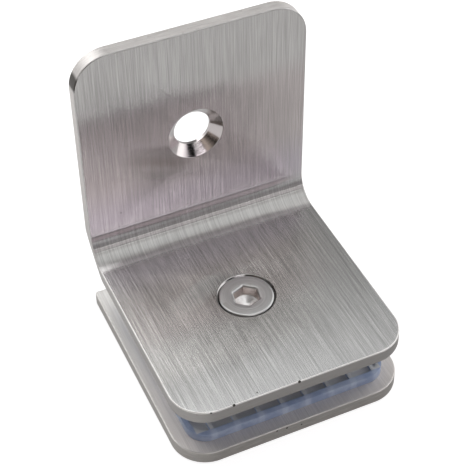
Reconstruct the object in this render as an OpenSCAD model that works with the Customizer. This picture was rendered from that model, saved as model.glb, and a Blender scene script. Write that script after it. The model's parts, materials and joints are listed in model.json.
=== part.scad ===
// Glass clamp, wall to glass at 90 degrees.
// A bent sheet bracket and a flat back plate hold a glass pane between two ribbed gaskets.
// One countersunk screw draws the plates together, down to the length of a spacer sleeve.
// X runs across the clamp, +Y points to the wall, and Z = 0 is the back plate's outer face.

/* [Bracket] */
// Width of the bracket and of the back plate
plate_w = 50; // [42:0.5:70]
// Thickness of the bent sheet
sheet_t = 3; // [2.5:0.1:5]
// Clamp leg, from its front edge to the wall face
clamp_leg = 53; // [50:0.5:70]
// Wall leg, from the clamp leg's underside to its top edge
wall_leg = 53.5; // [46:0.5:80]
// Inside radius of the bend
bend_r = 5.5; // [1:0.25:8]
// Radius of the rounded corners at the free ends
corner_r = 7.5; // [5:0.25:12]
// Distance of each hole's centre from the free end of its leg
hole_inset = 25.5; // [23:0.25:27]

/* [Back plate] */
// Depth of the back plate, from its front edge to its rear edge
back_l = 51.5; // [49:0.5:68]
// Thickness of the back plate
back_t = 3; // [2.5:0.1:6]
// Radius of the nearly square corners at the rear edge
rear_corner_r = 0.8; // [0.2:0.1:3]

/* [Glass slot] */
// Gap between the clamp leg and the back plate, with the screw tight
plate_gap = 9.5; // [9:0.1:16]

/* [Gaskets] */
// Margin from the plates' sides and front edge to the gaskets
gasket_margin = 3; // [1:0.25:4]
// Thickness of one gasket, ribs included
gasket_t = 2; // [1:0.1:2.4]
// Width of the plain rim round the gasket and round its hole
rim_w = 1.2; // [0.6:0.1:3]
// Spacing of the ribs across the gasket
rib_pitch = 5.2; // [3:0.1:9]
// Width of a rib
rib_w = 0.8; // [0.4:0.1:1.5]
// Height of the ribs above the floor of the cells
rib_h = 0.8; // [0.3:0.05:0.9]
// Sideways offset of the ribs from the gasket's middle
rib_shift = -1.8; // [-2.4:0.1:2.4]

/* [Screw] */
// Thread diameter
screw_d = 8; // [6.5:0.5:9]
// Diameter of the countersunk head
head_d = 11.6; // [11:0.1:13]
// Chamfer of the head's top edge
head_edge = 0.25; // [0.05:0.05:0.4]
// Size of the hexagon socket, across flats
hex_af = 5; // [4:0.5:6]
// Depth of the socket's flats
hex_depth = 2.4; // [1.5:0.1:3.5]
// Chamfer round the socket's mouth
hex_chamfer = 0.45; // [0.1:0.05:0.6]
// Slope of the drill point under the socket, in degrees
drill_slope = 31; // [15:1:45]
// Turn of the socket's corners from the X axis, in degrees
hex_turn = 20.5; // [0:0.5:60]
// Chamfer at the screw's tip
tip_chamfer = 0.8; // [0.2:0.1:1.5]
// How far the tip stays inside the back plate's outer face
tip_inset = 0.5; // [0.1:0.1:1]

/* [Sleeve] */
// Wall of the sleeve round the screw
sleeve_wall = 1; // [0.6:0.1:2]

/* [Clearances] */
// Radial gap round the head at the mouth of the countersink
head_gap = 0.4; // [0.1:0.05:0.6]
// Radial gap between the head's cone and the countersink
seat_clear = 0.05; // [0.02:0.01:0.09]
// Radial gap between the screw and the bracket's hole
screw_clear = 0.08; // [0.02:0.01:0.09]
// Radial gap between the screw and the tapped hole
thread_clear = 0.05; // [0.02:0.01:0.09]
// Radial gap between the screw and the sleeve
sleeve_clear = 0.2; // [0.05:0.05:0.5]
// Radial gap between the sleeve and the gaskets
gasket_clear = 0.3; // [0.1:0.05:1]

/* [Hidden] */
$fn = 96;
// Overrun of a cutting tool past the face it opens
overrun = 0.5;
front_y = -clamp_leg / 2;
wall_y = clamp_leg / 2;
leg_z = back_t + plate_gap;
leg_top = leg_z + sheet_t;
wall_top = leg_z + wall_leg;
// Outside radius of the bend, and its axis
bend_out = bend_r + sheet_t;
bend_y = wall_y - bend_out;
bend_z = leg_z + bend_out;
screw_y = front_y + hole_inset;
wall_hole_z = wall_top - hole_inset;
hole_d = screw_d + 2 * screw_clear;
sink_d = head_d + 2 * head_gap;
tapped_d = screw_d + 2 * thread_clear;
sleeve_bore = screw_d + 2 * sleeve_clear;
sleeve_d = sleeve_bore + 2 * sleeve_wall;
// The gaskets are centred on the screw, and their corners follow the plates'
gasket_w = plate_w - 2 * gasket_margin;
gasket_l = 2 * (hole_inset - gasket_margin);
gasket_r = corner_r - gasket_margin;
gasket_hole = sleeve_d + 2 * gasket_clear;
// Area inside the gasket's rim
cells_w = gasket_w - 2 * rim_w;
cells_l = gasket_l - 2 * rim_w;
cells_r = max(gasket_r - rim_w, rib_w);
// Columns of ribs on each side of the offset one, and rows of cells from front to rear
side_ribs = ceil(gasket_w / rib_pitch / 2);
cell_rows = round(cells_l / rib_pitch);
row_pitch = (cells_l + rib_w) / cell_rows;
screw_l = leg_top - tip_inset;
// The head's straight rim ends where its cone meets the countersink
head_rim = head_gap - seat_clear;
head_cone = (head_d - screw_d) / 2;
// Diameter over the corners of a hexagon, per unit across flats
hex_corner = 2 / sqrt(3);
// Height of the drill point under the socket
drill_h = hex_af / 2 * tan(drill_slope);

// Rectangle from y = 0 to y = l, with round corners at y = l and, if near_r is given, at y = 0
module end_rounded(w, l, far_r, near_r = 0) {
    translate([-w / 2, near_r]) square([w, l - near_r - far_r]);
    translate([0, l]) mirror([0, 1]) round_end(w, far_r);
    if (near_r > 0)
        round_end(w, near_r);
}

// Strip of depth r with a round corner at each end of y = 0
module round_end(w, r) {
    translate([r - w / 2, 0]) square([w - 2 * r, r]);
    for (side = [-1, 1])
        translate([side * (w / 2 - r), r]) circle(r);
}

// Rectangle with four equal round corners, centred
module rounded_rectangle(w, l, r) {
    translate([0, -l / 2]) end_rounded(w, l, r, r);
}

// Cutter for a countersunk hole: the sheet's face is z = 0 and the hole goes down
module countersunk_hole() {
    sink_h = (sink_d - hole_d) / 2;
    translate([0, 0, -sheet_t - overrun]) cylinder(h = sheet_t + 2 * overrun, d = hole_d);
    translate([0, 0, -sink_h]) cylinder(h = sink_h + overrun, d1 = hole_d, d2 = sink_d + 2 * overrun);
}

// Flat part of one leg of the bracket, from the bend at y = 0 to its round end
module flat_leg(length) {
    linear_extrude(sheet_t) end_rounded(plate_w, length - bend_out, corner_r);
}

// Quarter-round bend that joins the legs
module bend() {
    translate([0, bend_y, bend_z])
        rotate([90, 0, 90])
            rotate([0, 0, -90])
                rotate_extrude(angle = 90)
                    translate([bend_r, -plate_w / 2]) square([sheet_t, plate_w]);
}

// Gasket with its ribs up, its underside at z = 0 and its hole at the origin
module gasket() {
    difference() {
        linear_extrude(gasket_t) rounded_rectangle(gasket_w, gasket_l, gasket_r);
        translate([0, 0, -overrun]) cylinder(h = gasket_t + 2 * overrun, d = gasket_hole);
        translate([0, 0, gasket_t - rib_h])
            linear_extrude(rib_h + overrun)
                difference() {
                    rounded_rectangle(cells_w, cells_l, cells_r);
                    gasket_ribs();
                    circle(d = gasket_hole + 2 * rim_w);
                }
    }
}

// Plan of the ribs: columns carry on from the offset one, rows share the length evenly
module gasket_ribs() {
    for (column = [-side_ribs:side_ribs])
        translate([rib_shift + column * rib_pitch - rib_w / 2, -gasket_l / 2]) square([rib_w, gasket_l]);
    for (row = [1:cell_rows - 1])
        translate([-gasket_w / 2, row * row_pitch - rib_w - cells_l / 2]) square([gasket_w, rib_w]);
}

// Cutter for the screw's socket: the head's face is z = 0
module hex_socket() {
    hex_d = hex_af * hex_corner;
    translate([0, 0, -hex_depth]) cylinder(h = hex_depth + overrun, d = hex_d, $fn = 6);
    translate([0, 0, -hex_chamfer])
        cylinder(h = 2 * hex_chamfer, d1 = hex_d, d2 = hex_d + 4 * hex_chamfer * hex_corner, $fn = 6);
    translate([0, 0, -hex_depth - drill_h]) cylinder(h = drill_h, d1 = 0, d2 = hex_af);
}

module angle_bracket() {
    color("silver")
        difference() {
            union() {
                translate([0, bend_y, leg_z]) mirror([0, 1, 0]) flat_leg(clamp_leg);
                bend();
                translate([0, wall_y, bend_z]) rotate([90, 0, 0]) flat_leg(wall_leg);
            }
            translate([0, screw_y, leg_top]) countersunk_hole();
            translate([0, wall_y - sheet_t, wall_hole_z]) rotate([90, 0, 0]) countersunk_hole();
        }
}

module back_plate() {
    color("lightgray")
        difference() {
            translate([0, front_y, 0])
                linear_extrude(back_t) end_rounded(plate_w, back_l, rear_corner_r, corner_r);
            translate([0, screw_y, -overrun]) cylinder(h = back_t + 2 * overrun, d = tapped_d);
        }
}

module bracket_gasket() {
    color("lightsteelblue") translate([0, screw_y, leg_z]) mirror([0, 0, 1]) gasket();
}

module plate_gasket() {
    color("lightsteelblue") translate([0, screw_y, back_t]) gasket();
}

module screw_sleeve() {
    color("whitesmoke")
        translate([0, screw_y, back_t])
            difference() {
                cylinder(h = plate_gap, d = sleeve_d);
                translate([0, 0, -overrun]) cylinder(h = plate_gap + 2 * overrun, d = sleeve_bore);
            }
}

module clamp_screw() {
    head_r = head_d / 2;
    shank_r = screw_d / 2;
    edge = min(head_edge, head_rim);
    color("gainsboro")
        translate([0, screw_y, leg_top])
            difference() {
                rotate_extrude()
                    polygon([
                        [0, 0],
                        [head_r - edge, 0],
                        [head_r, -edge],
                        [head_r, -head_rim],
                        [shank_r, -head_rim - head_cone],
                        [shank_r, tip_chamfer - screw_l],
                        [shank_r - tip_chamfer, -screw_l],
                        [0, -screw_l],
                    ]);
                rotate([0, 0, hex_turn]) hex_socket();
            }
}

angle_bracket();
back_plate();
bracket_gasket();
plate_gasket();
screw_sleeve();
clamp_screw();
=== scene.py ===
"""Looks of the glass clamp: brushed sheet, ribbed gaskets and a turned screw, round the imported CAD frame."""

import json
import math

import bmesh
import bpy
from mathutils import Matrix, Vector


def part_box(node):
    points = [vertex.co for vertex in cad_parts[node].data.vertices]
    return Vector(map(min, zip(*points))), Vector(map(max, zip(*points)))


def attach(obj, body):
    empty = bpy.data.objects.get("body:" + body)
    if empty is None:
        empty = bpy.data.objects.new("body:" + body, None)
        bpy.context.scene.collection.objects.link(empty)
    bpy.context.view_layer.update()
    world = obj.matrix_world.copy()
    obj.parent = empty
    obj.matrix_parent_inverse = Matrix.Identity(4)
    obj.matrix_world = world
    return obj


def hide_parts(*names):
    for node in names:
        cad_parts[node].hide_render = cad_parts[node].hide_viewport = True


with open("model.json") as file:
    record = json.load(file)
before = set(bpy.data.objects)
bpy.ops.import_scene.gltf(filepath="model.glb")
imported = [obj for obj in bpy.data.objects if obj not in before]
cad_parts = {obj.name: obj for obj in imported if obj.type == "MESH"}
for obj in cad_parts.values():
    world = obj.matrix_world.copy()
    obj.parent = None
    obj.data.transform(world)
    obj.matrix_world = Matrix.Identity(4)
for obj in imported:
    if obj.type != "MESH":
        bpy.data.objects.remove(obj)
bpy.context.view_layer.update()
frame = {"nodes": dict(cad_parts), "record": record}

# Sizes in millimetres, from the frame where its boxes and mounts give them
MM = 0.001


def node_box(node):
    """Lowest and highest corner of a CAD node, in millimetres."""
    low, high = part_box(node)
    return low / MM, high / MM


def mount(name):
    """A mount of the record by its name."""
    return next(m for m in frame["record"]["mounts"] if m["name"] == name)


bracket_low, bracket_high = node_box("angle_bracket")
plate_low, plate_high = node_box("back_plate")
screw_low, screw_high = node_box("clamp_screw")

WIDTH = bracket_high.x - bracket_low.x
LEG_Z = bracket_low.z
LEG_TOP = screw_high.z
SHEET_T = LEG_TOP - LEG_Z
FRONT_Y = bracket_low.y
WALL_Y = bracket_high.y
BEND_R = 5.5
BEND_OUT = BEND_R + SHEET_T
BEND_Y = WALL_Y - BEND_OUT
BEND_Z = LEG_Z + BEND_OUT
# Length of the flat strip before the fold: clamp leg, bend along its middle, wall leg
CLAMP_FLAT = BEND_Y - FRONT_Y
BEND_L = math.pi / 2 * (BEND_R + SHEET_T / 2)
WALL_START = CLAMP_FLAT + BEND_L
STRIP_L = WALL_START + bracket_high.z - BEND_Z
CORNER_R = 7.5
REAR_CORNER_R = 0.8
EDGE_R = 0.25
# How far the sheet's outside draws in at the ends of the bend
FOLD_DRAW = 0.4
# Fine lines that the press left along the inside of the bend: angle from the clamp leg, depth, half width
PRESS_LINES = (48.5, 57.5)
PRESS_DEPTH = 0.05
PRESS_HALF = 0.14
PLATE_T = plate_high.z
PLATE_L = plate_high.y - plate_low.y
pad_low, pad_high = node_box("plate_gasket")
PAD_T = pad_high.z - pad_low.z
# Height of a gasket's ribs above the floor of its cells, their spacing, width and offset, and its rim's width
PAD_RELIEF = 0.8
RIB_PITCH = 5.2
RIB_W = 0.8
RIB_SHIFT = -1.8
PAD_RIM = 1.2

SCREW_Y = (screw_low.y + screw_high.y) / 2
HEAD_R = (screw_high.x - screw_low.x) / 2
SHANK_R = 4.0
HEAD_GAP = 0.4
HEAD_RIM = 0.35
HEAD_ROUND = 0.5
HEX_FLAT = 2.5
HEX_EDGE = 0.42
# Width of the flat ring round the hexagon's rounded edge, and the socket floor's share of the hexagon
HEX_LAND = 0.6
FLOOR_SHARE = 0.97
HEX_DEPTH = 2.4
HEX_TURN = 20.5
DRILL_ANGLE = 31
TIP_CHAMFER = 0.8
PITCH = 1.25
CREST_HALF = PITCH / 16
FLANK_SLOPE = math.sqrt(3)
THREAD_DEPTH = 0.6134 * PITCH
THREAD_TOP = 12.2
THREAD_CLEAR = 0.06
MOUTH_CHAMFER = 0.35

HOLE_R = mount("wall_screw_hole")["dims"]["r_mm"]
WALL_HOLE_Z = mount("wall_screw_hole")["pos_m"][2] / MM
SINK_R = HEAD_R + HEAD_GAP
SINK_H = SINK_R - HOLE_R
HOLE_EDGE = 0.12

ROUND_STEPS = 96
CORNER_STEPS = 20
BEND_STEPS = 20
EDGE_STEPS = 3
THREAD_STEPS = 14
HEAD_STEPS = 6
HEX_STEPS = 5

# Material slots of a sheet's mesh, and of the screw's
FACE, EDGE, RIM, BORE, SEAT = range(5)
HEAD, SOCKET, SOCKET_FLOOR = range(3)

# Pits and edge nicks: a point of the surface and the radius of the mark
BRACKET_MARKS = (
    ((-18.5, -0.6, LEG_TOP), 0.15),
    ((-9.1, -25.5, LEG_TOP), 0.17),
    ((-17.7, WALL_Y - SHEET_T, 25.2), 0.15),
    ((-19.2, FRONT_Y, LEG_TOP - 0.1), 0.34),
    ((-14.4, FRONT_Y, LEG_TOP - 0.1), 0.34),
    ((-0.4, FRONT_Y, LEG_TOP - 0.1), 0.34),
)
# Painted dark reflection on the edge of the wall leg's corner, a dark spot: its place on the flat strip
EDGE_DARK_REFLECTION = (-24.6, WALL_START + 60.8 - BEND_Z, SHEET_T / 2)
PLATE_MARKS = (
    ((-2.9, FRONT_Y, 2.4), 0.22),
    ((-5.1, FRONT_Y, 2.6), 0.2),
    ((0.4, FRONT_Y, 1.8), 0.18),
)


# Mesh helpers

def corner(cx, cy, radius, start, steps):
    """Points of a quarter arc at the given step numbers, from the start angle in degrees."""
    angles = (math.radians(start + 90 * k / CORNER_STEPS) for k in steps)
    return [(cx + radius * math.cos(a), cy + radius * math.sin(a)) for a in angles]


def outline(length, near_r, far_r, inset, stations):
    """Points (x, s) round a sheet, from the near end of its right side, both sides cut at the stations."""
    half = WIDTH / 2
    sides = [near_r, *stations, length - far_r]
    leaving = range(1, CORNER_STEPS + 1)
    arriving = range(CORNER_STEPS)
    points = [(half - inset, s) for s in sides]
    points += corner(half - far_r, length - far_r, far_r - inset, 0, leaving)
    points += corner(far_r - half, length - far_r, far_r - inset, 90, arriving)
    points += [(inset - half, s) for s in reversed(sides)]
    points += corner(near_r - half, near_r, near_r - inset, 180, leaving)
    points += corner(half - near_r, near_r, near_r - inset, 270, arriving)
    return points


def edge_levels(thickness):
    """Inset and height of each loop round a sheet's edge, from its underside to its top."""
    turns = [math.pi / 2 * k / EDGE_STEPS for k in range(EDGE_STEPS + 1)]
    lower = [(EDGE_R * (1 - math.sin(a)), EDGE_R * (1 - math.cos(a))) for a in turns]
    return lower + [(inset, thickness - h) for inset, h in reversed(lower)]


def bridge(bm, loops, slot, closed=True):
    """Quads between neighbouring loops of equal length."""
    for lower, upper in zip(loops, loops[1:]):
        count = len(lower)
        for i in range(count if closed else count - 1):
            j = (i + 1) % count
            bm.faces.new((lower[i], lower[j], upper[j], upper[i])).material_index = slot


def fill(bm, loops, slot):
    """Flat face inside the first loop and outside the others."""
    edges = []
    for loop in loops:
        for a, b in zip(loop, loop[1:] + loop[:1]):
            edges.append(bm.edges.get((a, b)) or bm.edges.new((a, b)))
    made = bmesh.ops.triangle_fill(bm, edges=edges, use_beauty=True)
    for item in made["geom"]:
        if isinstance(item, bmesh.types.BMFace):
            item.material_index = slot


def cap(bm, loop, stations, holes):
    """Closes one side of a sheet: a filled flat at each end, and a rung of quads between the stations."""
    if not stations:
        fill(bm, [loop, *holes], FACE)
        return
    count = len(stations) + 2
    left_start = count + 2 * CORNER_STEPS
    right = loop[:count]
    left = loop[left_start:left_start + count][::-1]
    near = loop[left_start + count - 2:] + right[:2]
    far = loop[count - 2:left_start + 2]
    fill(bm, [near, holes[0]], FACE)
    fill(bm, [far, holes[1]], FACE)
    for i in range(1, count - 2):
        bm.faces.new((right[i], right[i + 1], left[i + 1], left[i])).material_index = FACE


def finish_mesh(bm, name, sharp_angle):
    """Turns a bmesh in millimetres into an object in metres, smooth up to the sharp angle in degrees."""
    bmesh.ops.recalc_face_normals(bm, faces=bm.faces)
    bmesh.ops.scale(bm, vec=(MM, MM, MM), verts=bm.verts)
    mesh = bpy.data.meshes.new(name)
    bm.to_mesh(mesh)
    bm.free()
    mesh.shade_smooth()
    mesh.set_sharp_from_angle(angle=math.radians(sharp_angle))
    piece = bpy.data.objects.new(name, mesh)
    bpy.context.scene.collection.objects.link(piece)
    return piece


def sheet(name, length, corners, thickness, stations, holes, place):
    """A sheet with rounded edges. It is drawn flat, and place(x, s, h) then puts each point where it belongs.
    Each hole is a material slot and rings of flat points, from the underside to the top."""
    bm = bmesh.new()
    loops = []
    for inset, h in edge_levels(thickness):
        points = outline(length, *corners, inset, stations)
        loops.append([bm.verts.new((x, s, h)) for x, s in points])
    bridge(bm, loops[:-EDGE_STEPS], EDGE)
    bridge(bm, loops[-EDGE_STEPS - 1:], RIM)
    mouths = []
    for slot, rings in holes:
        hole = [[bm.verts.new(p) for p in ring] for ring in rings]
        bridge(bm, hole, slot)
        mouths.append((hole[0], hole[-1]))
    cap(bm, loops[0], stations, [lower for lower, upper in mouths])
    cap(bm, loops[-1], stations, [upper for lower, upper in mouths])
    for vert in bm.verts:
        vert.co = place(*vert.co)
    piece = finish_mesh(bm, name, 40)
    weighted = piece.modifiers.new("Weighted normals", "WEIGHTED_NORMAL")
    weighted.keep_sharp = True
    return piece


def ring_points(centre_s, radius, h):
    """Flat points of a circle on the strip's middle line."""
    turns = (2 * math.pi * k / ROUND_STEPS for k in range(ROUND_STEPS))
    return [(radius * math.cos(a), centre_s + radius * math.sin(a), h) for a in turns]


def countersunk(centre_s):
    """Rings of a countersunk hole, its edges broken, from the underside to the top."""
    profile = (
        (HOLE_R + HOLE_EDGE, 0),
        (HOLE_R, HOLE_EDGE),
        (HOLE_R, SHEET_T - SINK_H),
        (SINK_R - HOLE_EDGE, SHEET_T - HOLE_EDGE),
        (SINK_R + HOLE_EDGE / 2, SHEET_T),
    )
    return [ring_points(centre_s, radius, h) for radius, h in profile]


def thread_depth(angle, z):
    """How far an M8 thread lies below its crest, at an angle in degrees and a height."""
    from_crest = abs((z / PITCH - angle / 360) % 1 - 0.5) * PITCH
    return min(max(from_crest - CREST_HALF, 0) * FLANK_SLOPE, THREAD_DEPTH)


def tapped(centre_s):
    """Rings of the tapped hole in the back plate, its mouths countersunk a little, in step with the screw."""
    rings = []
    count = round(PLATE_T / PITCH * THREAD_STEPS)
    for k in range(count + 1):
        h = PLATE_T * k / count
        mouth = SHANK_R + MOUTH_CHAMFER - min(h, PLATE_T - h)
        ring = []
        for i in range(ROUND_STEPS):
            angle = 360 * i / ROUND_STEPS
            radius = max(SHANK_R + THREAD_CLEAR - thread_depth(angle, h), mouth)
            turn = math.radians(angle)
            ring.append((radius * math.cos(turn), centre_s + radius * math.sin(turn), h))
        rings.append(ring)
    return rings


def fold_station(angle):
    """Place along the strip of an angle of the bend, in degrees from the clamp leg."""
    return CLAMP_FLAT + BEND_L * angle / 90


def folded(x, s, h):
    """Place on the bracket of a point of the flat strip. s runs from the clamp leg's front edge,
    h from the outside of the sheet."""
    if s <= CLAMP_FLAT:
        return Vector((x, FRONT_Y + s, LEG_Z + h))
    if s >= WALL_START:
        return Vector((x, WALL_Y - h, BEND_Z + s - WALL_START))
    turn = (s - CLAMP_FLAT) / BEND_L * math.pi / 2
    inside = h / SHEET_T
    drawn = (inside - 1) * FOLD_DRAW * math.sin(2 * turn)
    pressed = min(abs(s - fold_station(angle)) for angle in PRESS_LINES) < PRESS_HALF / 2
    radius = BEND_OUT - h + (PRESS_DEPTH * inside if pressed else 0)
    side = math.copysign(1, x)
    return Vector((x + side * drawn, BEND_Y + radius * math.sin(turn), BEND_Z - radius * math.cos(turn)))


def unfolded(place):
    """Place on the flat strip of a point of the bracket."""
    x, y, z = place
    if y <= BEND_Y:
        return Vector((x, y - FRONT_Y, z - LEG_Z))
    if z >= BEND_Z:
        return Vector((x, WALL_START + z - BEND_Z, WALL_Y - y))
    turn = math.atan2(y - BEND_Y, BEND_Z - z)
    h = BEND_OUT - math.hypot(y - BEND_Y, z - BEND_Z)
    return Vector((x, fold_station(math.degrees(turn)), h))


def lying(x, s, h):
    """Place of a point of the flat back plate."""
    return Vector((x, FRONT_Y + s, h))


def lifted(place):
    """Place along and across the back plate of one of its points."""
    return Vector((place.x, place.y - FRONT_Y, place.z))


def mark_strip(piece, flatten):
    """Stores each point's place on the flat strip, for the grain, and a UV map with U across the grain."""
    mesh = piece.data
    flat = [flatten(vert.co / MM) for vert in mesh.vertices]
    strip = mesh.attributes.new("strip", "FLOAT_VECTOR", "POINT")
    strip.data.foreach_set("vector", [value for place in flat for value in place])
    uv = mesh.uv_layers.new(name="strip_uv")
    for loop in mesh.loops:
        uv.data[loop.index].uv = flat[loop.vertex_index].xy / STRIP_L


def hexagon(flat):
    """Radius at each angle of a hexagon with a corner at the first angle, given the distance of its flats."""
    step = 360 / ROUND_STEPS
    offsets = ((k * step) % 60 - 30 for k in range(ROUND_STEPS))
    return [flat / math.cos(math.radians(offset)) for offset in offsets]


def screw_rings():
    """Height, radii and material slot of each ring of the screw, from its tip to the floor of its socket."""
    def circle(radius):
        return [radius] * ROUND_STEPS

    tip = screw_low.z
    rings = []
    count = round((THREAD_TOP - tip) / PITCH * THREAD_STEPS)
    for k in range(count + 1):
        z = tip + (THREAD_TOP - tip) * k / count
        chamfer = SHANK_R - TIP_CHAMFER + z - tip
        runout = max(0.0, min(1.0, (THREAD_TOP - z) / PITCH))
        radii = []
        for i in range(ROUND_STEPS):
            angle = HEX_TURN + 360 * i / ROUND_STEPS
            radii.append(min(SHANK_R - runout * thread_depth(angle, z), chamfer))
        rings.append((z, radii, HEAD))
    rings.append((LEG_TOP - HEAD_RIM - HEAD_R + SHANK_R, circle(SHANK_R), HEAD))
    for k in range(HEAD_STEPS + 1):
        turn = math.pi / 2 * k / HEAD_STEPS
        radius = HEAD_R - HEAD_ROUND * (1 - math.cos(turn))
        rings.append((LEG_TOP - HEAD_RIM * (1 - math.sin(turn)), circle(radius), HEAD))
    rings.append((LEG_TOP, circle(HEX_FLAT + 2 * HEX_EDGE + HEX_LAND), HEAD))
    for k in range(HEX_STEPS + 1):
        turn = math.pi / 2 * k / HEX_STEPS
        flat = HEX_FLAT + HEX_EDGE * (1 - math.sin(turn))
        rings.append((LEG_TOP - HEX_EDGE * (1 - math.cos(turn)), hexagon(flat), HEAD))
    rings.append((LEG_TOP - HEX_DEPTH, hexagon(HEX_FLAT), SOCKET))
    rings.append((LEG_TOP - HEX_DEPTH, circle(HEX_FLAT * FLOOR_SHARE), SOCKET_FLOOR))
    rings.append((LEG_TOP - HEX_DEPTH - socket_cone() / 2, circle(HEX_FLAT / 2), SOCKET_FLOOR))
    return rings


def socket_cone():
    """Height of the drill point under the socket."""
    return HEX_FLAT * math.tan(math.radians(DRILL_ANGLE))


def turned_screw(name):
    """The screw as one mesh, with a point attribute for its turned marks: radius, angle and height."""
    bm = bmesh.new()
    loops = []
    turns = [math.radians(HEX_TURN + 360 * i / ROUND_STEPS) for i in range(ROUND_STEPS)]
    rings = screw_rings()
    for z, radii, _ in rings:
        points = ((r * math.cos(a), SCREW_Y + r * math.sin(a), z) for r, a in zip(radii, turns))
        loops.append([bm.verts.new(p) for p in points])
    for lower, upper, ring in zip(loops, loops[1:], rings[1:]):
        bridge(bm, [lower, upper], ring[2])
    ends = (
        (loops[0], screw_low.z, HEAD),
        (loops[-1], LEG_TOP - HEX_DEPTH - socket_cone(), SOCKET_FLOOR),
    )
    for loop, z, slot in ends:
        middle = bm.verts.new((0, SCREW_Y, z))
        for a, b in zip(loop, loop[1:] + loop[:1]):
            bm.faces.new((a, b, middle)).material_index = slot
    turned = bm.verts.layers.float_vector.new("turned")
    for vert in bm.verts:
        x, y = vert.co.x, vert.co.y - SCREW_Y
        vert[turned] = (math.hypot(x, y), math.atan2(y, x), vert.co.z)
    return finish_mesh(bm, name, 32)


def softened(name, node, width, steps):
    """Copy of a CAD node with its flat faces joined up and its edges rounded by the given width."""
    bm = bmesh.new()
    bm.from_mesh(frame["nodes"][node].data)
    bmesh.ops.scale(bm, vec=(1 / MM,) * 3, verts=bm.verts)
    bmesh.ops.remove_doubles(bm, verts=bm.verts, dist=0.001)
    bmesh.ops.dissolve_limit(bm, angle_limit=math.radians(1), verts=bm.verts, edges=bm.edges)
    edges = [e for e in bm.edges if e.is_manifold and e.calc_face_angle() > math.radians(30)]
    bmesh.ops.bevel(
        bm, geom=edges, offset=width, segments=steps, profile=0.5, affect="EDGES", clamp_overlap=True
    )
    bmesh.ops.triangulate(bm, faces=[f for f in bm.faces if len(f.verts) > 4])
    return finish_mesh(bm, name, 40)


def cut_marks(piece, marks, material):
    """Cuts small pits out of a piece, each a rough ball, and gives their faces the material."""
    bm = bmesh.new()
    for point, radius in marks:
        spot = Matrix.Translation(Vector(point) * MM)
        bmesh.ops.create_icosphere(bm, subdivisions=2, radius=radius * MM, matrix=spot)
    mesh = bpy.data.meshes.new("marks")
    bm.to_mesh(mesh)
    bm.free()
    mesh.materials.append(material)
    cutter = bpy.data.objects.new("marks", mesh)
    bpy.context.scene.collection.objects.link(cutter)
    boolean = piece.modifiers.new("Marks", "BOOLEAN")
    boolean.operation = "DIFFERENCE"
    boolean.solver = "EXACT"
    boolean.material_mode = "TRANSFER"
    boolean.object = cutter
    piece.modifiers.move(len(piece.modifiers) - 1, 0)
    graph = bpy.context.evaluated_depsgraph_get()
    piece.modifiers["Weighted normals"].show_viewport = False
    graph.update()
    cut = bpy.data.meshes.new_from_object(piece.evaluated_get(graph))
    piece.modifiers.remove(boolean)
    piece.modifiers["Weighted normals"].show_viewport = True
    bpy.data.objects.remove(cutter)
    cut.name = piece.name
    piece.data = cut


# Material helpers

class Graph:
    """Short calls for building one node tree."""

    def __init__(self, tree):
        self.tree = tree
        tree.nodes.clear()

    def add(self, kind, inputs=None, **settings):
        node = self.tree.nodes.new("ShaderNode" + kind)
        for key, value in settings.items():
            setattr(node, key, value)
        for key, value in (inputs or {}).items():
            self.feed(node.inputs[key], value)
        return node

    def feed(self, socket, value):
        if isinstance(value, bpy.types.NodeSocket):
            self.tree.links.new(value, socket)
        else:
            socket.default_value = value

    def math(self, operation, a, b=0.0, c=0.0):
        return self.add("Math", {0: a, 1: b, 2: c}, operation=operation).outputs[0]

    def attribute(self, name):
        return self.add("Attribute", attribute_name=name).outputs["Vector"]

    def noise(self, place, stretch, detail=2.0, roughness=0.5):
        """Noise from 0 to 1 of a place, with cells of 1 / stretch along each axis."""
        scaled = self.add("VectorMath", {0: place, 1: stretch}, operation="MULTIPLY").outputs[0]
        inputs = {"Vector": scaled, "Scale": 1.0, "Detail": detail, "Roughness": roughness}
        return self.add("TexNoise", inputs).outputs[0]

    def span(self, value, low, high, to_low=0.0, to_high=1.0):
        """Value between low and high, carried over to another range with soft ends."""
        inputs = {"Value": value, "From Min": low, "From Max": high, "To Min": to_low, "To Max": to_high}
        return self.add("MapRange", inputs, interpolation_type="SMOOTHSTEP").outputs[0]

    def mix(self, factor, a, b, blend_type="MIX"):
        """Colour a, and b where the factor is 1."""
        inputs = {0: factor, 6: a, 7: b}
        return self.add("Mix", inputs, data_type="RGBA", blend_type=blend_type).outputs[2]

    def ramp(self, value, stops, interpolation="EASE"):
        """Colour at a value, from stops of a position and a colour."""
        node = self.add("ValToRGB", {0: value})
        elements = node.color_ramp.elements
        node.color_ramp.interpolation = interpolation
        for k, (position, colour) in enumerate(stops):
            element = elements[k] if k < 2 else elements.new(position)
            element.position = position
            element.color = colour
        return node.outputs[0]

    def bump(self, height, depth):
        """Normal of a height from 0 to 1, depth in millimetres."""
        return self.add("Bump", {"Height": height, "Distance": depth * MM, "Strength": 1.0}).outputs[0]

    def vector(self, operation, a, b=(0, 0, 0), scale=1.0):
        return self.add("VectorMath", {0: a, 1: b, 3: scale}, operation=operation).outputs[0]

    def lean(self, across, along):
        """Normal that leans by one slope along X, across the grain, and by another along the grain."""
        normal = self.add("NewGeometry").outputs["Normal"]
        forward = self.vector("CROSS_PRODUCT", normal, (1, 0, 0))
        leaning = self.vector("ADD", normal, self.vector("SCALE", forward, scale=along))
        leaning = self.vector("ADD", leaning, self.add("CombineXYZ", {0: across}).outputs[0])
        return self.vector("NORMALIZE", leaning)


def rgb(red, green, blue):
    return (red, green, blue, 1.0)


def new_material(name):
    material = bpy.data.materials.new(name)
    material.use_nodes = True
    return material, Graph(material.node_tree)


def principled(graph, inputs):
    shader = graph.add("BsdfPrincipled", inputs)
    graph.add("OutputMaterial", {"Surface": shader.outputs[0]})
    return shader


# Steepest slope of the finest grain
GRAIN_SLOPE = 0.2
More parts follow.
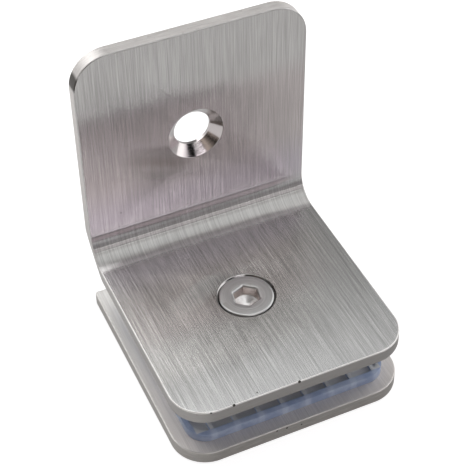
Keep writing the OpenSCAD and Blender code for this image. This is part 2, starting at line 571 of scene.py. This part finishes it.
# Where the fold is roughest, and how far from there its roughness starts to fade and ends
FOLD_MIDDLE = CLAMP_FLAT + 0.4 * BEND_L
FOLD_FADE = (0.3 * BEND_L, 0.5 * BEND_L)
# Half the length over which the leaning back of the wall leg sets in
SPRING_HALF = 3
# Where along the strip the painted light on its edges changes, and how far the painted dark reflection on them
# reaches
EDGE_LIGHT_FADE = (0.2 * STRIP_L, 0.92 * STRIP_L)
DARK_REFLECTION_FADE = (1.0, 2.0)


def brushed_steel(name, dark, light, tints, low, high, anisotropy, fold_rough=0.0, spring_back=0.0):
    """Sheet face: fine grain along the strip, longer hairlines, single scratches and faint clouds.
    The tints are stops of tone along the strip, in millimetres; on the bracket they are painted reflection,
    tone bands that the mirrored surroundings give, lavender and brownish on the lower wall leg.
    Low and high are the roughness of its smoothest and roughest grain. A fold adds its own roughness,
    and the leg behind it leans back by an angle in degrees, in the shading only."""
    material, graph = new_material(name)
    place = graph.attribute("strip")
    along = graph.add("SeparateXYZ", {0: place}).outputs["Y"]
    # Tone bands along the strip; on the bracket they are painted reflection
    stops = [(s / STRIP_L, colour) for s, colour in tints]
    tint = graph.ramp(graph.math("DIVIDE", along, STRIP_L), stops)
    finest = graph.noise(place, (40.0, 0.06, 0.06), 1.0, 0.5)
    fine = graph.noise(place, (11.0, 0.09, 0.09), 3.0, 0.6)
    hair = graph.noise(place, (4.6, 0.05, 0.05), 3.0, 0.6)
    scratch = graph.span(graph.noise(place, (5.5, 0.08, 0.08), 2.0, 0.5), 0.61, 0.72)
    cloud = graph.noise(place, (0.07, 0.09, 0.09), 2.0, 0.5)
    grain = graph.math("MULTIPLY_ADD", fine, 0.5, graph.math("MULTIPLY", hair, 0.5))
    tone = graph.mix(graph.span(grain, 0.35, 0.65), dark, light)
    tone = graph.mix(graph.math("MULTIPLY", scratch, 0.4), tone, rgb(0.92, 0.92, 0.91))
    tone = graph.mix(graph.span(cloud, 0.3, 0.7, 0.0, 0.12), tone, rgb(0.45, 0.43, 0.42))
    tone = graph.mix(1.0, tone, tint, "MULTIPLY")
    from_fold = graph.math("ABSOLUTE", graph.math("SUBTRACT", along, FOLD_MIDDLE))
    fold = graph.span(from_fold, *FOLD_FADE, fold_rough, 0)
    back = math.tan(math.radians(spring_back))
    principled(graph, {
        "Base Color": tone,
        "Metallic": 1.0,
        "Roughness": graph.math("ADD", graph.span(fine, 0.3, 0.7, low, high), fold),
        "Anisotropic": anisotropy,
        "Tangent": graph.add("Tangent", direction_type="UV_MAP", uv_map="strip_uv").outputs[0],
        "Normal": graph.lean(
            graph.math("MULTIPLY_ADD", finest, 2 * GRAIN_SLOPE, -GRAIN_SLOPE),
            graph.span(along, WALL_START - SPRING_HALF, WALL_START + SPRING_HALF, 0.0, back),
        ),
    })
    return material


def cut_edge(name, dark, light, low, high, near=1.0, far=1.0, dark_reflection=None):
    """Sheared and linished edge of a sheet: lines along the edge and a few dull spots.
    Near and far scale its tone at the strip's two ends, as painted light and shade, and the last argument is
    the place on the strip of a painted dark reflection, a dark spot."""
    material, graph = new_material(name)
    place = graph.attribute("strip")
    along = graph.add("SeparateXYZ", {0: place}).outputs["Y"]
    lines = graph.noise(place, (0.25, 0.25, 7.0), 3.0, 0.6)
    spots = graph.span(graph.noise(place, (1.1, 1.1, 1.6), 3.0, 0.6), 0.6, 0.72)
    tone = graph.mix(graph.span(lines, 0.3, 0.7), dark, light)
    tone = graph.mix(graph.math("MULTIPLY", spots, 0.35), tone, rgb(0.30, 0.28, 0.26))
    # Painted light and shade: the tone is scaled from near to far along the strip
    tone = graph.vector("SCALE", tone, scale=graph.span(along, *EDGE_LIGHT_FADE, near, far))
    # Painted dark reflection: a dark spot round the given place
    if dark_reflection:
        offset = graph.vector("MULTIPLY", graph.vector("SUBTRACT", place, dark_reflection), (1.0, 1.0, 0.4))
        away = graph.add("VectorMath", {0: offset}, operation="LENGTH").outputs["Value"]
        tone = graph.mix(graph.span(away, *DARK_REFLECTION_FADE, 0.92, 0.0), tone, rgb(0.06, 0.055, 0.05))
    principled(graph, {
        "Base Color": tone,
        "Metallic": 1.0,
        "Roughness": graph.span(lines, 0.3, 0.7, low, high),
        "Normal": graph.bump(lines, 0.02),
    })
    return material


def machined(name, near_tone, far_tone=None, near=0.0, far=1.0):
    """Cut bore and countersink: nearly polished, with fine tool rings.
    Its tone can change between two places along the strip."""
    material, graph = new_material(name)
    place = graph.attribute("strip")
    along = graph.add("SeparateXYZ", {0: place}).outputs["Y"]
    rings = graph.noise(place, (0.3, 0.3, 9.0), 2.0, 0.5)
    principled(graph, {
        "Base Color": graph.mix(graph.span(along, near, far), near_tone, far_tone or near_tone),
        "Metallic": 1.0,
        "Roughness": graph.span(rings, 0.3, 0.7, 0.09, 0.18),
        "Normal": graph.bump(rings, 0.012),
    })
    return material


def turned_steel(name, dark, light, low, high):
    """Screw: turned rings round its axis, with faint spots."""
    material, graph = new_material(name)
    place = graph.attribute("turned")
    rings = graph.noise(place, (6.0, 0.15, 6.0), 2.0, 0.6)
    spots = graph.noise(graph.attribute("position"), (900, 900, 900), 3.0, 0.6)
    tone = graph.mix(graph.span(rings, 0.3, 0.7), dark, light)
    tone = graph.mix(graph.span(spots, 0.55, 0.75, 0.0, 0.3), tone, rgb(0.4, 0.37, 0.34))
    principled(graph, {
        "Base Color": tone,
        "Metallic": 1.0,
        "Roughness": graph.span(rings, 0.3, 0.7, low, high),
        "Normal": graph.bump(rings, 0.015),
    })
    return material


def soft_plastic(name, cell_shade, rib_light, deep, pale):
    """Gasket: translucent soft plastic. Its edge and rim are blue and cloudy, paler in bars in line with the
    ribs, and its thin cells and ribs are greyer, the tops of the ribs lighter than the floors of the cells, as
    painted light and shade."""
    material, graph = new_material(name)
    place = graph.attribute("pad")
    x, y, raised = graph.add("SeparateXYZ", {0: place}).outputs
    cloud = graph.noise(place, (0.26, 0.26, 0.42), 3.0, 0.55)
    skin = graph.noise(place, (2.5, 2.5, 2.5), 3.0, 0.6)
    from_rib = graph.math("WRAP", graph.math("SUBTRACT", x, RIB_SHIFT), RIB_PITCH / 2, -RIB_PITCH / 2)
    rib_end = graph.span(graph.math("ABSOLUTE", from_rib), RIB_W * 0.4, RIB_W * 1.2, 0.45, 0)
    edge = graph.mix(graph.math("ADD", graph.span(cloud, 0.38, 0.62, 0.0, 0.55), rib_end), deep, pale)
    # Painted light and shade: lighter with height, from the shaded floors of the cells to the lit tops of the
    # ribs
    flat = graph.mix(graph.span(raised, PAD_RELIEF * 0.3, PAD_RELIEF * 0.8), cell_shade, rib_light)
    from_side = graph.math("SUBTRACT", pad_high.x, graph.math("ABSOLUTE", x))
    inset = graph.math("MINIMUM", from_side, graph.math("SUBTRACT", y, pad_low.y))
    facing = graph.add("SeparateXYZ", {0: graph.add("NewGeometry").outputs["True Normal"]}).outputs["Z"]
    upright = graph.span(graph.math("ABSOLUTE", facing), 0.35, 0.8)
    inner = graph.math("MULTIPLY", upright, graph.span(inset, PAD_RIM, PAD_RIM + 0.2))
    principled(graph, {
        "Base Color": graph.mix(inner, edge, flat),
        "Roughness": graph.span(skin, 0.3, 0.7, 0.36, 0.5),
        "IOR": 1.45,
        "Transmission Weight": 0.12,
        "Normal": graph.bump(skin, 0.02),
    })
    return material


def clear_plastic(name):
    """Sleeve: clear tube, slightly milky, with faint lines from drawing."""
    material, graph = new_material(name)
    place = graph.add("TexCoord").outputs["Object"]
    lines = graph.noise(place, (1500, 1500, 60), 3.0, 0.6)
    principled(graph, {
        "Base Color": graph.mix(lines, rgb(0.84, 0.88, 0.9), rgb(0.92, 0.94, 0.95)),
        "Roughness": graph.span(lines, 0.3, 0.7, 0.12, 0.25),
        "IOR": 1.46,
        "Transmission Weight": 0.85,
        "Normal": graph.bump(lines, 0.01),
    })
    return material


def pit(name):
    """Inside of a pit or nick: dull metal, near black and mottled."""
    material, graph = new_material(name)
    place = graph.add("TexCoord").outputs["Object"]
    mottle = graph.noise(place, (6000, 6000, 6000), 2.0, 0.5)
    principled(graph, {
        "Base Color": graph.mix(mottle, rgb(0.02, 0.018, 0.016), rgb(0.12, 0.1, 0.09)),
        "Metallic": 0.3,
        "Roughness": 0.7,
    })
    return material


# Pieces

# Painted reflection on the steel along the strip, from the clamp leg's front edge to the wall leg's top edge:
# tone bands that stand for the mirrored surroundings
BRACKET_REFLECTION_TINTS = (
    (0, rgb(1.0, 1.0, 1.0)),
    (14, rgb(1.0, 1.0, 0.99)),
    (30, rgb(0.97, 0.965, 0.95)),
    (CLAMP_FLAT, rgb(0.97, 0.96, 0.945)),
    (CLAMP_FLAT + 6, rgb(1.0, 1.0, 0.99)),
    (WALL_START + 3, rgb(1.0, 0.93, 1.0)),
    (WALL_START + 14, rgb(0.98, 0.905, 0.90)),
    (WALL_START + 26, rgb(0.98, 0.905, 0.90)),
    (WALL_START + 34, rgb(1.0, 0.98, 0.97)),
)
PLATE_TINTS = (
    (0, rgb(0.98, 0.95, 0.93)),
    (PLATE_L, rgb(1.0, 1.0, 0.99)),
)


def dress(piece, body, node, materials):
    """Gives a piece its materials, and says what it rides on and stands for."""
    for material in materials:
        piece.data.materials.append(material)
    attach(piece, body)
    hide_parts(node)


pit_metal = pit("pit_metal")
bend_stations = [fold_station(90 * k / BEND_STEPS) for k in range(BEND_STEPS + 1)]
for angle in PRESS_LINES:
    bend_stations += [fold_station(angle) + offset * PRESS_HALF for offset in (-1, 0, 1)]
bend_stations.sort()
wall_hole_s = WALL_START + WALL_HOLE_Z - BEND_Z
screw_s = SCREW_Y - FRONT_Y

bracket = sheet(
    "bracket_sheet", STRIP_L, (CORNER_R, CORNER_R), SHEET_T, bend_stations,
    [(SEAT, countersunk(screw_s)), (BORE, countersunk(wall_hole_s))], folded,
)
dress(bracket, "bracket", "angle_bracket", [
    brushed_steel(
        "bracket_face", rgb(0.51, 0.51, 0.505), rgb(0.74, 0.74, 0.735), BRACKET_REFLECTION_TINTS,
        low=0.16, high=0.2, anisotropy=1.0, fold_rough=0.22, spring_back=1.25,
    ),
    # Painted light: the edges darker at the clamp leg's front and brighter towards the wall leg's top, with a
    # white glint at its corner
    cut_edge(
        "bracket_edge_painted_light", rgb(0.50, 0.48, 0.465), rgb(0.62, 0.60, 0.585),
        low=0.42, high=0.56, near=0.68, far=1.2, dark_reflection=EDGE_DARK_REFLECTION,
    ),
    # Painted highlight: the rim brighter along the clamp leg's front edge
    cut_edge(
        "bracket_rim_painted_highlight", rgb(0.52, 0.51, 0.50), rgb(0.68, 0.67, 0.66),
        low=0.46, high=0.58, near=1.25, far=0.9, dark_reflection=EDGE_DARK_REFLECTION,
    ),
    machined("bracket_bore", rgb(0.54, 0.505, 0.50)),
    # Painted shade: the front of the seat is darkened to stand for the shaded gap round the screw head
    machined(
        "bracket_seat_painted_shade", rgb(0.10, 0.096, 0.092), rgb(0.44, 0.43, 0.42),
        near=screw_s + 1, far=screw_s + HEAD_R,
    ),
])
cut_marks(bracket, BRACKET_MARKS, pit_metal)
mark_strip(bracket, unfolded)

plate = sheet(
    "back_plate_sheet", PLATE_L, (CORNER_R, REAR_CORNER_R), PLATE_T, [], [(BORE, tapped(screw_s))], lying,
)
dress(plate, "back_plate", "back_plate", [
    brushed_steel(
        "plate_face", rgb(0.70, 0.685, 0.675), rgb(0.85, 0.84, 0.83), PLATE_TINTS,
        low=0.6, high=0.7, anisotropy=0.3,
    ),
    cut_edge("plate_edge", rgb(0.36, 0.34, 0.32), rgb(0.52, 0.50, 0.48), 0.34, 0.48),
    # Painted highlight: the top rounding is a lighter copy of the edge steel
    cut_edge("plate_rim_painted_highlight", rgb(0.50, 0.48, 0.46), rgb(0.66, 0.64, 0.62), 0.42, 0.54),
    machined("plate_thread", rgb(0.5, 0.49, 0.48)),
])
cut_marks(plate, PLATE_MARKS, pit_metal)
mark_strip(plate, lifted)

gasket_plastic = soft_plastic(
    "gasket_plastic", cell_shade=rgb(0.55, 0.56, 0.58), rib_light=rgb(0.62, 0.64, 0.66),
    deep=rgb(0.30, 0.38, 0.57), pale=rgb(0.52, 0.60, 0.75),
)
# Each gasket's face, from which its ribs rise towards the glass
for name, body, node, face, rise in (
    ("bracket_pad", "bracket", "bracket_gasket", LEG_Z - PAD_T + PAD_RELIEF, -1),
    ("plate_pad", "back_plate", "plate_gasket", PLATE_T + PAD_T - PAD_RELIEF, 1),
):
    pad = softened(name, node, 0.14, 2)
    dress(pad, body, node, [gasket_plastic])
    relief = pad.data.attributes.new("pad", "FLOAT_VECTOR", "POINT")
    for vert, place in zip(pad.data.vertices, relief.data):
        x, y, z = vert.co / MM
        place.vector = (x, y, (z - face) * rise)

dress(softened("sleeve_tube", "screw_sleeve", 0.2, 2), "back_plate", "screw_sleeve", [
    clear_plastic("sleeve_plastic"),
])

dress(turned_screw("turned_screw"), "screw", "clamp_screw", [
    turned_steel("screw_head", rgb(0.43, 0.43, 0.425), rgb(0.57, 0.57, 0.565), 0.28, 0.4),
    # Painted light: the socket's walls are a warmer copy of the head's steel, and its floor a near-white copy,
    # for the lit bottom of the socket
    turned_steel("screw_socket_painted_light", rgb(0.58, 0.52, 0.50), rgb(0.72, 0.66, 0.64), 0.26, 0.4),
    turned_steel("socket_floor_painted_light", rgb(0.86, 0.85, 0.84), rgb(0.94, 0.93, 0.92), 0.34, 0.48),
])


# Stage: white floor that keeps the shadow, surroundings and camera

def glow_strength(graph, to_view, to_metal):
    """Strength of a glow: one for rays from the camera or through clear pieces, one for mirror rays,
    and none for diffuse light."""
    path = graph.add("LightPath")
    seen = graph.math("MAXIMUM", path.outputs["Is Camera Ray"], path.outputs["Is Transmission Ray"])
    mirrored = graph.math("MULTIPLY", path.outputs["Is Glossy Ray"], to_metal)
    return graph.math("MAXIMUM", graph.math("MULTIPLY", seen, to_view), mirrored)


FLOOR_GAP = 0.05
FLOOR_HALF = 3000
FLOOR_GLOW = 0.8
FLOOR_GREY = 0.42
# The photo's metal shows a greyer table than the white behind the part, lighter on its left
TABLE_LEFT = 0.5
TABLE_RIGHT = 0.2
TABLE_FADE = (-35, -15)

bm = bmesh.new()
bmesh.ops.create_grid(bm, x_segments=1, y_segments=1, size=FLOOR_HALF)
for vert in bm.verts:
    vert.co.z = -FLOOR_GAP
floor = finish_mesh(bm, "floor", 30)
material, graph = new_material("floor_white")
across = graph.add("SeparateXYZ", {0: graph.add("NewGeometry").outputs["Position"]}).outputs["X"]
table = graph.span(across, TABLE_FADE[0] * MM, TABLE_FADE[1] * MM, TABLE_LEFT, TABLE_RIGHT)
glow = graph.add("Emission", {"Strength": glow_strength(graph, FLOOR_GLOW, table)})
matt = graph.add("BsdfDiffuse", {"Color": rgb(FLOOR_GREY, FLOOR_GREY, FLOOR_GREY)})
total = graph.add("AddShader", {0: glow.outputs[0], 1: matt.outputs[0]})
graph.add("OutputMaterial", {"Surface": total.outputs[0]})
floor.data.materials.append(material)

# Studio surroundings: bright panels and dark gaps between them, which the steel mirrors as bands.
# Each sector has the azimuths where it starts and ends, in degrees from the front towards +X, its colour,
# and stops of an elevation in degrees and the light there.
SECTOR_SOFT = 5
PLAIN = (1.0, 1.0, 1.0)
ROSE = (1.1, 0.92, 0.96)
MAUVE = (1.03, 0.98, 1.03)
SAND = (1.12, 0.97, 0.86)
SECTORS = (
    (-16, 22, ROSE, ((0, 0.0), (10, 0.09), (20, 0.48), (28, 0.65), (33, 0.12), (36, 0.0))),
    (-16, 22, MAUVE, (
        (36, 0.0), (37.5, 0.2), (38.8, 1.67), (40.2, 2.82), (41.5, 2.75), (42.8, 1.82), (44.2, 0.65),
        (46, 0.0), (47.6, 0.0),
    )),
    (-16, 22, PLAIN, ((47.6, 0.0), (49.2, 0.4), (52, 1.8), (57, 1.7), (63, 1.4), (70, 1.2))),
    (-16, 8, PLAIN, ((47, 0.0), (50, 1.2), (54, 1.2), (60, 0.4), (70, 0.0))),
    (22, 60, MAUVE, ((0, 0.5), (10, 0.8), (20, 1.26), (28, 0.91), (33, 0.05), (36, 0.0))),
    (22, 60, PLAIN, ((47.6, 0.0), (52, 0.58), (57, 0.77), (63, 0.92), (70, 1.06))),
    (60, 124, PLAIN, ((0, 1.82), (15, 2.0), (30, 1.79), (50, 1.33))),
    (124, 188, PLAIN, ((0, 0.6), (18, 0.6), (28, 0.3), (35, 0.19), (45, 0.31), (60, 1.43))),
    (-172, -128, PLAIN, ((0, 0.75), (20, 1.04), (35, 2.63), (50, 3.96), (70, 2.47))),
    (-128, -88, PLAIN, ((0, 0.6), (20, 0.6), (35, 0.3), (50, 0.0))),
    (-88, -52, SAND, ((0, 0.5), (15, 0.5), (28, 0.2), (36, 0.29), (41.5, 0.19), (52, 0.08), (60, 0.0))),
    (-52, -16, SAND, (
        (0, 0.0), (15, 0.0), (28, 0.26), (36, 0.63), (38.8, 0.58), (41.5, 0.29), (44.2, 0.04), (47.6, 0.0),
    )),
)

world = bpy.data.worlds.new("surroundings")
bpy.context.scene.world = world
world.use_nodes = True
graph = Graph(world.node_tree)
direction = graph.add("SeparateXYZ", {0: graph.add("TexCoord").outputs["Generated"]})
x, y, z = direction.outputs
azimuth = graph.math("ARCTAN2", x, graph.math("MULTIPLY", y, -1.0))
height = graph.math("DIVIDE", graph.math("ARCSINE", z), math.pi / 2)
light = rgb(0.0, 0.0, 0.0)
for start, end, colour, stops in SECTORS:
    soft = math.radians(SECTOR_SOFT)
    centre = math.radians((start + end) / 2)
    across = graph.math("WRAP", graph.math("SUBTRACT", azimuth, centre), math.pi, -math.pi)
    across = graph.math("SUBTRACT", graph.math("ABSOLUTE", across), math.radians((end - start) / 2))
    shades = [(rise / 90, rgb(*(glow * part for part in colour))) for rise, glow in stops]
    level = graph.ramp(height, shades, "LINEAR")
    light = graph.mix(graph.span(across, -soft, soft, 1, 0), light, level, "ADD")
path = graph.add("LightPath")
direct = graph.math("MAXIMUM", path.outputs["Is Camera Ray"], path.outputs["Is Transmission Ray"])
light = graph.mix(direct, light, rgb(1.0, 1.0, 1.0))
graph.add("OutputWorld", {"Surface": graph.add("Background", {"Color": light}).outputs[0]})


# Camera at the photograph's viewing angle
VIEW_PLACE = (-80.569, -176.498, 216.499)
VIEW_AZIMUTH = 24.004
VIEW_ELEVATION = 43.572
VIEW_ROLL = -0.747
SENSOR = 36.0
# Focal length as a multiple of the picture's width
VIEW_FOCAL = 2.8572

heading, rise, roll = (math.radians(a) for a in (VIEW_AZIMUTH, VIEW_ELEVATION, VIEW_ROLL))
forward = Vector((
    math.sin(heading) * math.cos(rise), math.cos(heading) * math.cos(rise), -math.sin(rise),
))
right = forward.cross(Vector((0, 0, 1))).normalized()
up = right.cross(forward)
right, up = (
    math.cos(roll) * right + math.sin(roll) * up,
    math.cos(roll) * up - math.sin(roll) * right,
)
camera_data = bpy.data.cameras.new("camera")
camera_data.sensor_width = SENSOR
camera_data.lens = SENSOR * VIEW_FOCAL
camera_data.clip_start = 0.01
camera = bpy.data.objects.new("camera", camera_data)
turn = Matrix((right, up, -forward)).transposed().to_4x4()
camera.matrix_world = Matrix.Translation(Vector(VIEW_PLACE) * MM) @ turn
bpy.context.scene.collection.objects.link(camera)
bpy.context.scene.camera = camera
bpy.context.scene.view_settings.view_transform = "Standard"
